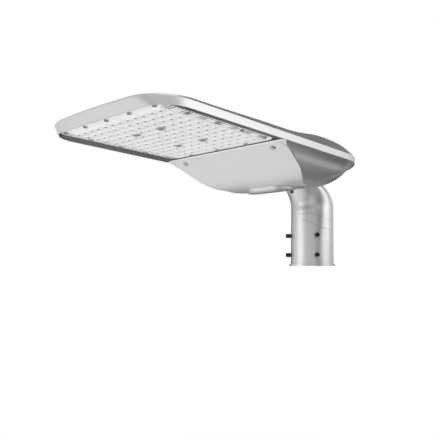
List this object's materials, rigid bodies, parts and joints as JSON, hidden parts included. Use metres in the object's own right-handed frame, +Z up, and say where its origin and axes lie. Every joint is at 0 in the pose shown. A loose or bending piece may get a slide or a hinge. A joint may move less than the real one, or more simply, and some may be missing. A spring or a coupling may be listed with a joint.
{
  "type": "led street light head",
  "caption": "Flat street light head with a lens field, a belly gear cover and a tilting elbow spigot that clamps on a pole top.",
  "frame": {"origin": "centre of the spigot's mouth, where the pole's top enters", "axes": "+Z up along the pole, +X from the pole towards the nose, +Y to the right side seen from the nose"},
  "size_m": [0.5575, 0.2614, 0.2116],
  "materials": {
    "silver_coat": "die-cast, with a satin silver-grey powder coat",
    "screw_steel": "stainless, slightly dark",
    "zinc_sheet": "galvanised sheet",
    "lens_clear": "clear moulded lens plastic",
    "gasket_rubber": "matt foam rubber",
    "board_white": "white lacquered metal board",
    "led_phosphor": "pale yellow phosphor",
    "driver_case": "anodised case",
    "block_plastic": "moulded plastic",
    "lead_rubber": "smooth sheath"
  },
  "bodies": {
    "spigot": {"spigot": "silver_coat", "clamp_screws": "screw_steel", "neck_screw": "screw_steel"},
    "head": {"housing": "silver_coat", "gear_cover": "silver_coat", "pivot_bolt": "screw_steel", "pivot_nut": "screw_steel", "pivot_washers": "screw_steel", "friction_discs": "zinc_sheet", "lens_plate": "lens_clear", "lens_gasket": "gasket_rubber", "led_board": "board_white", "led_chips": "led_phosphor", "lens_screws": "screw_steel", "lens_centre_screws": "screw_steel", "gear_tray": "zinc_sheet", "tray_screws": "screw_steel", "led_driver": "driver_case", "surge_protector": "block_plastic", "terminal_block": "block_plastic", "gear_screws": "screw_steel", "lead_gland": "block_plastic", "led_lead": "lead_rubber", "cover_gasket": "gasket_rubber", "cover_screws": "screw_steel"}
  },
  "joints": [
    {"name": "head_tilt", "type": "hinge", "parent": "spigot", "child": "head", "pos_m": [0.062, 0, 0.168], "axis": [0, -1, 0], "range_deg": [-6.4, 13.6]}
  ]
}
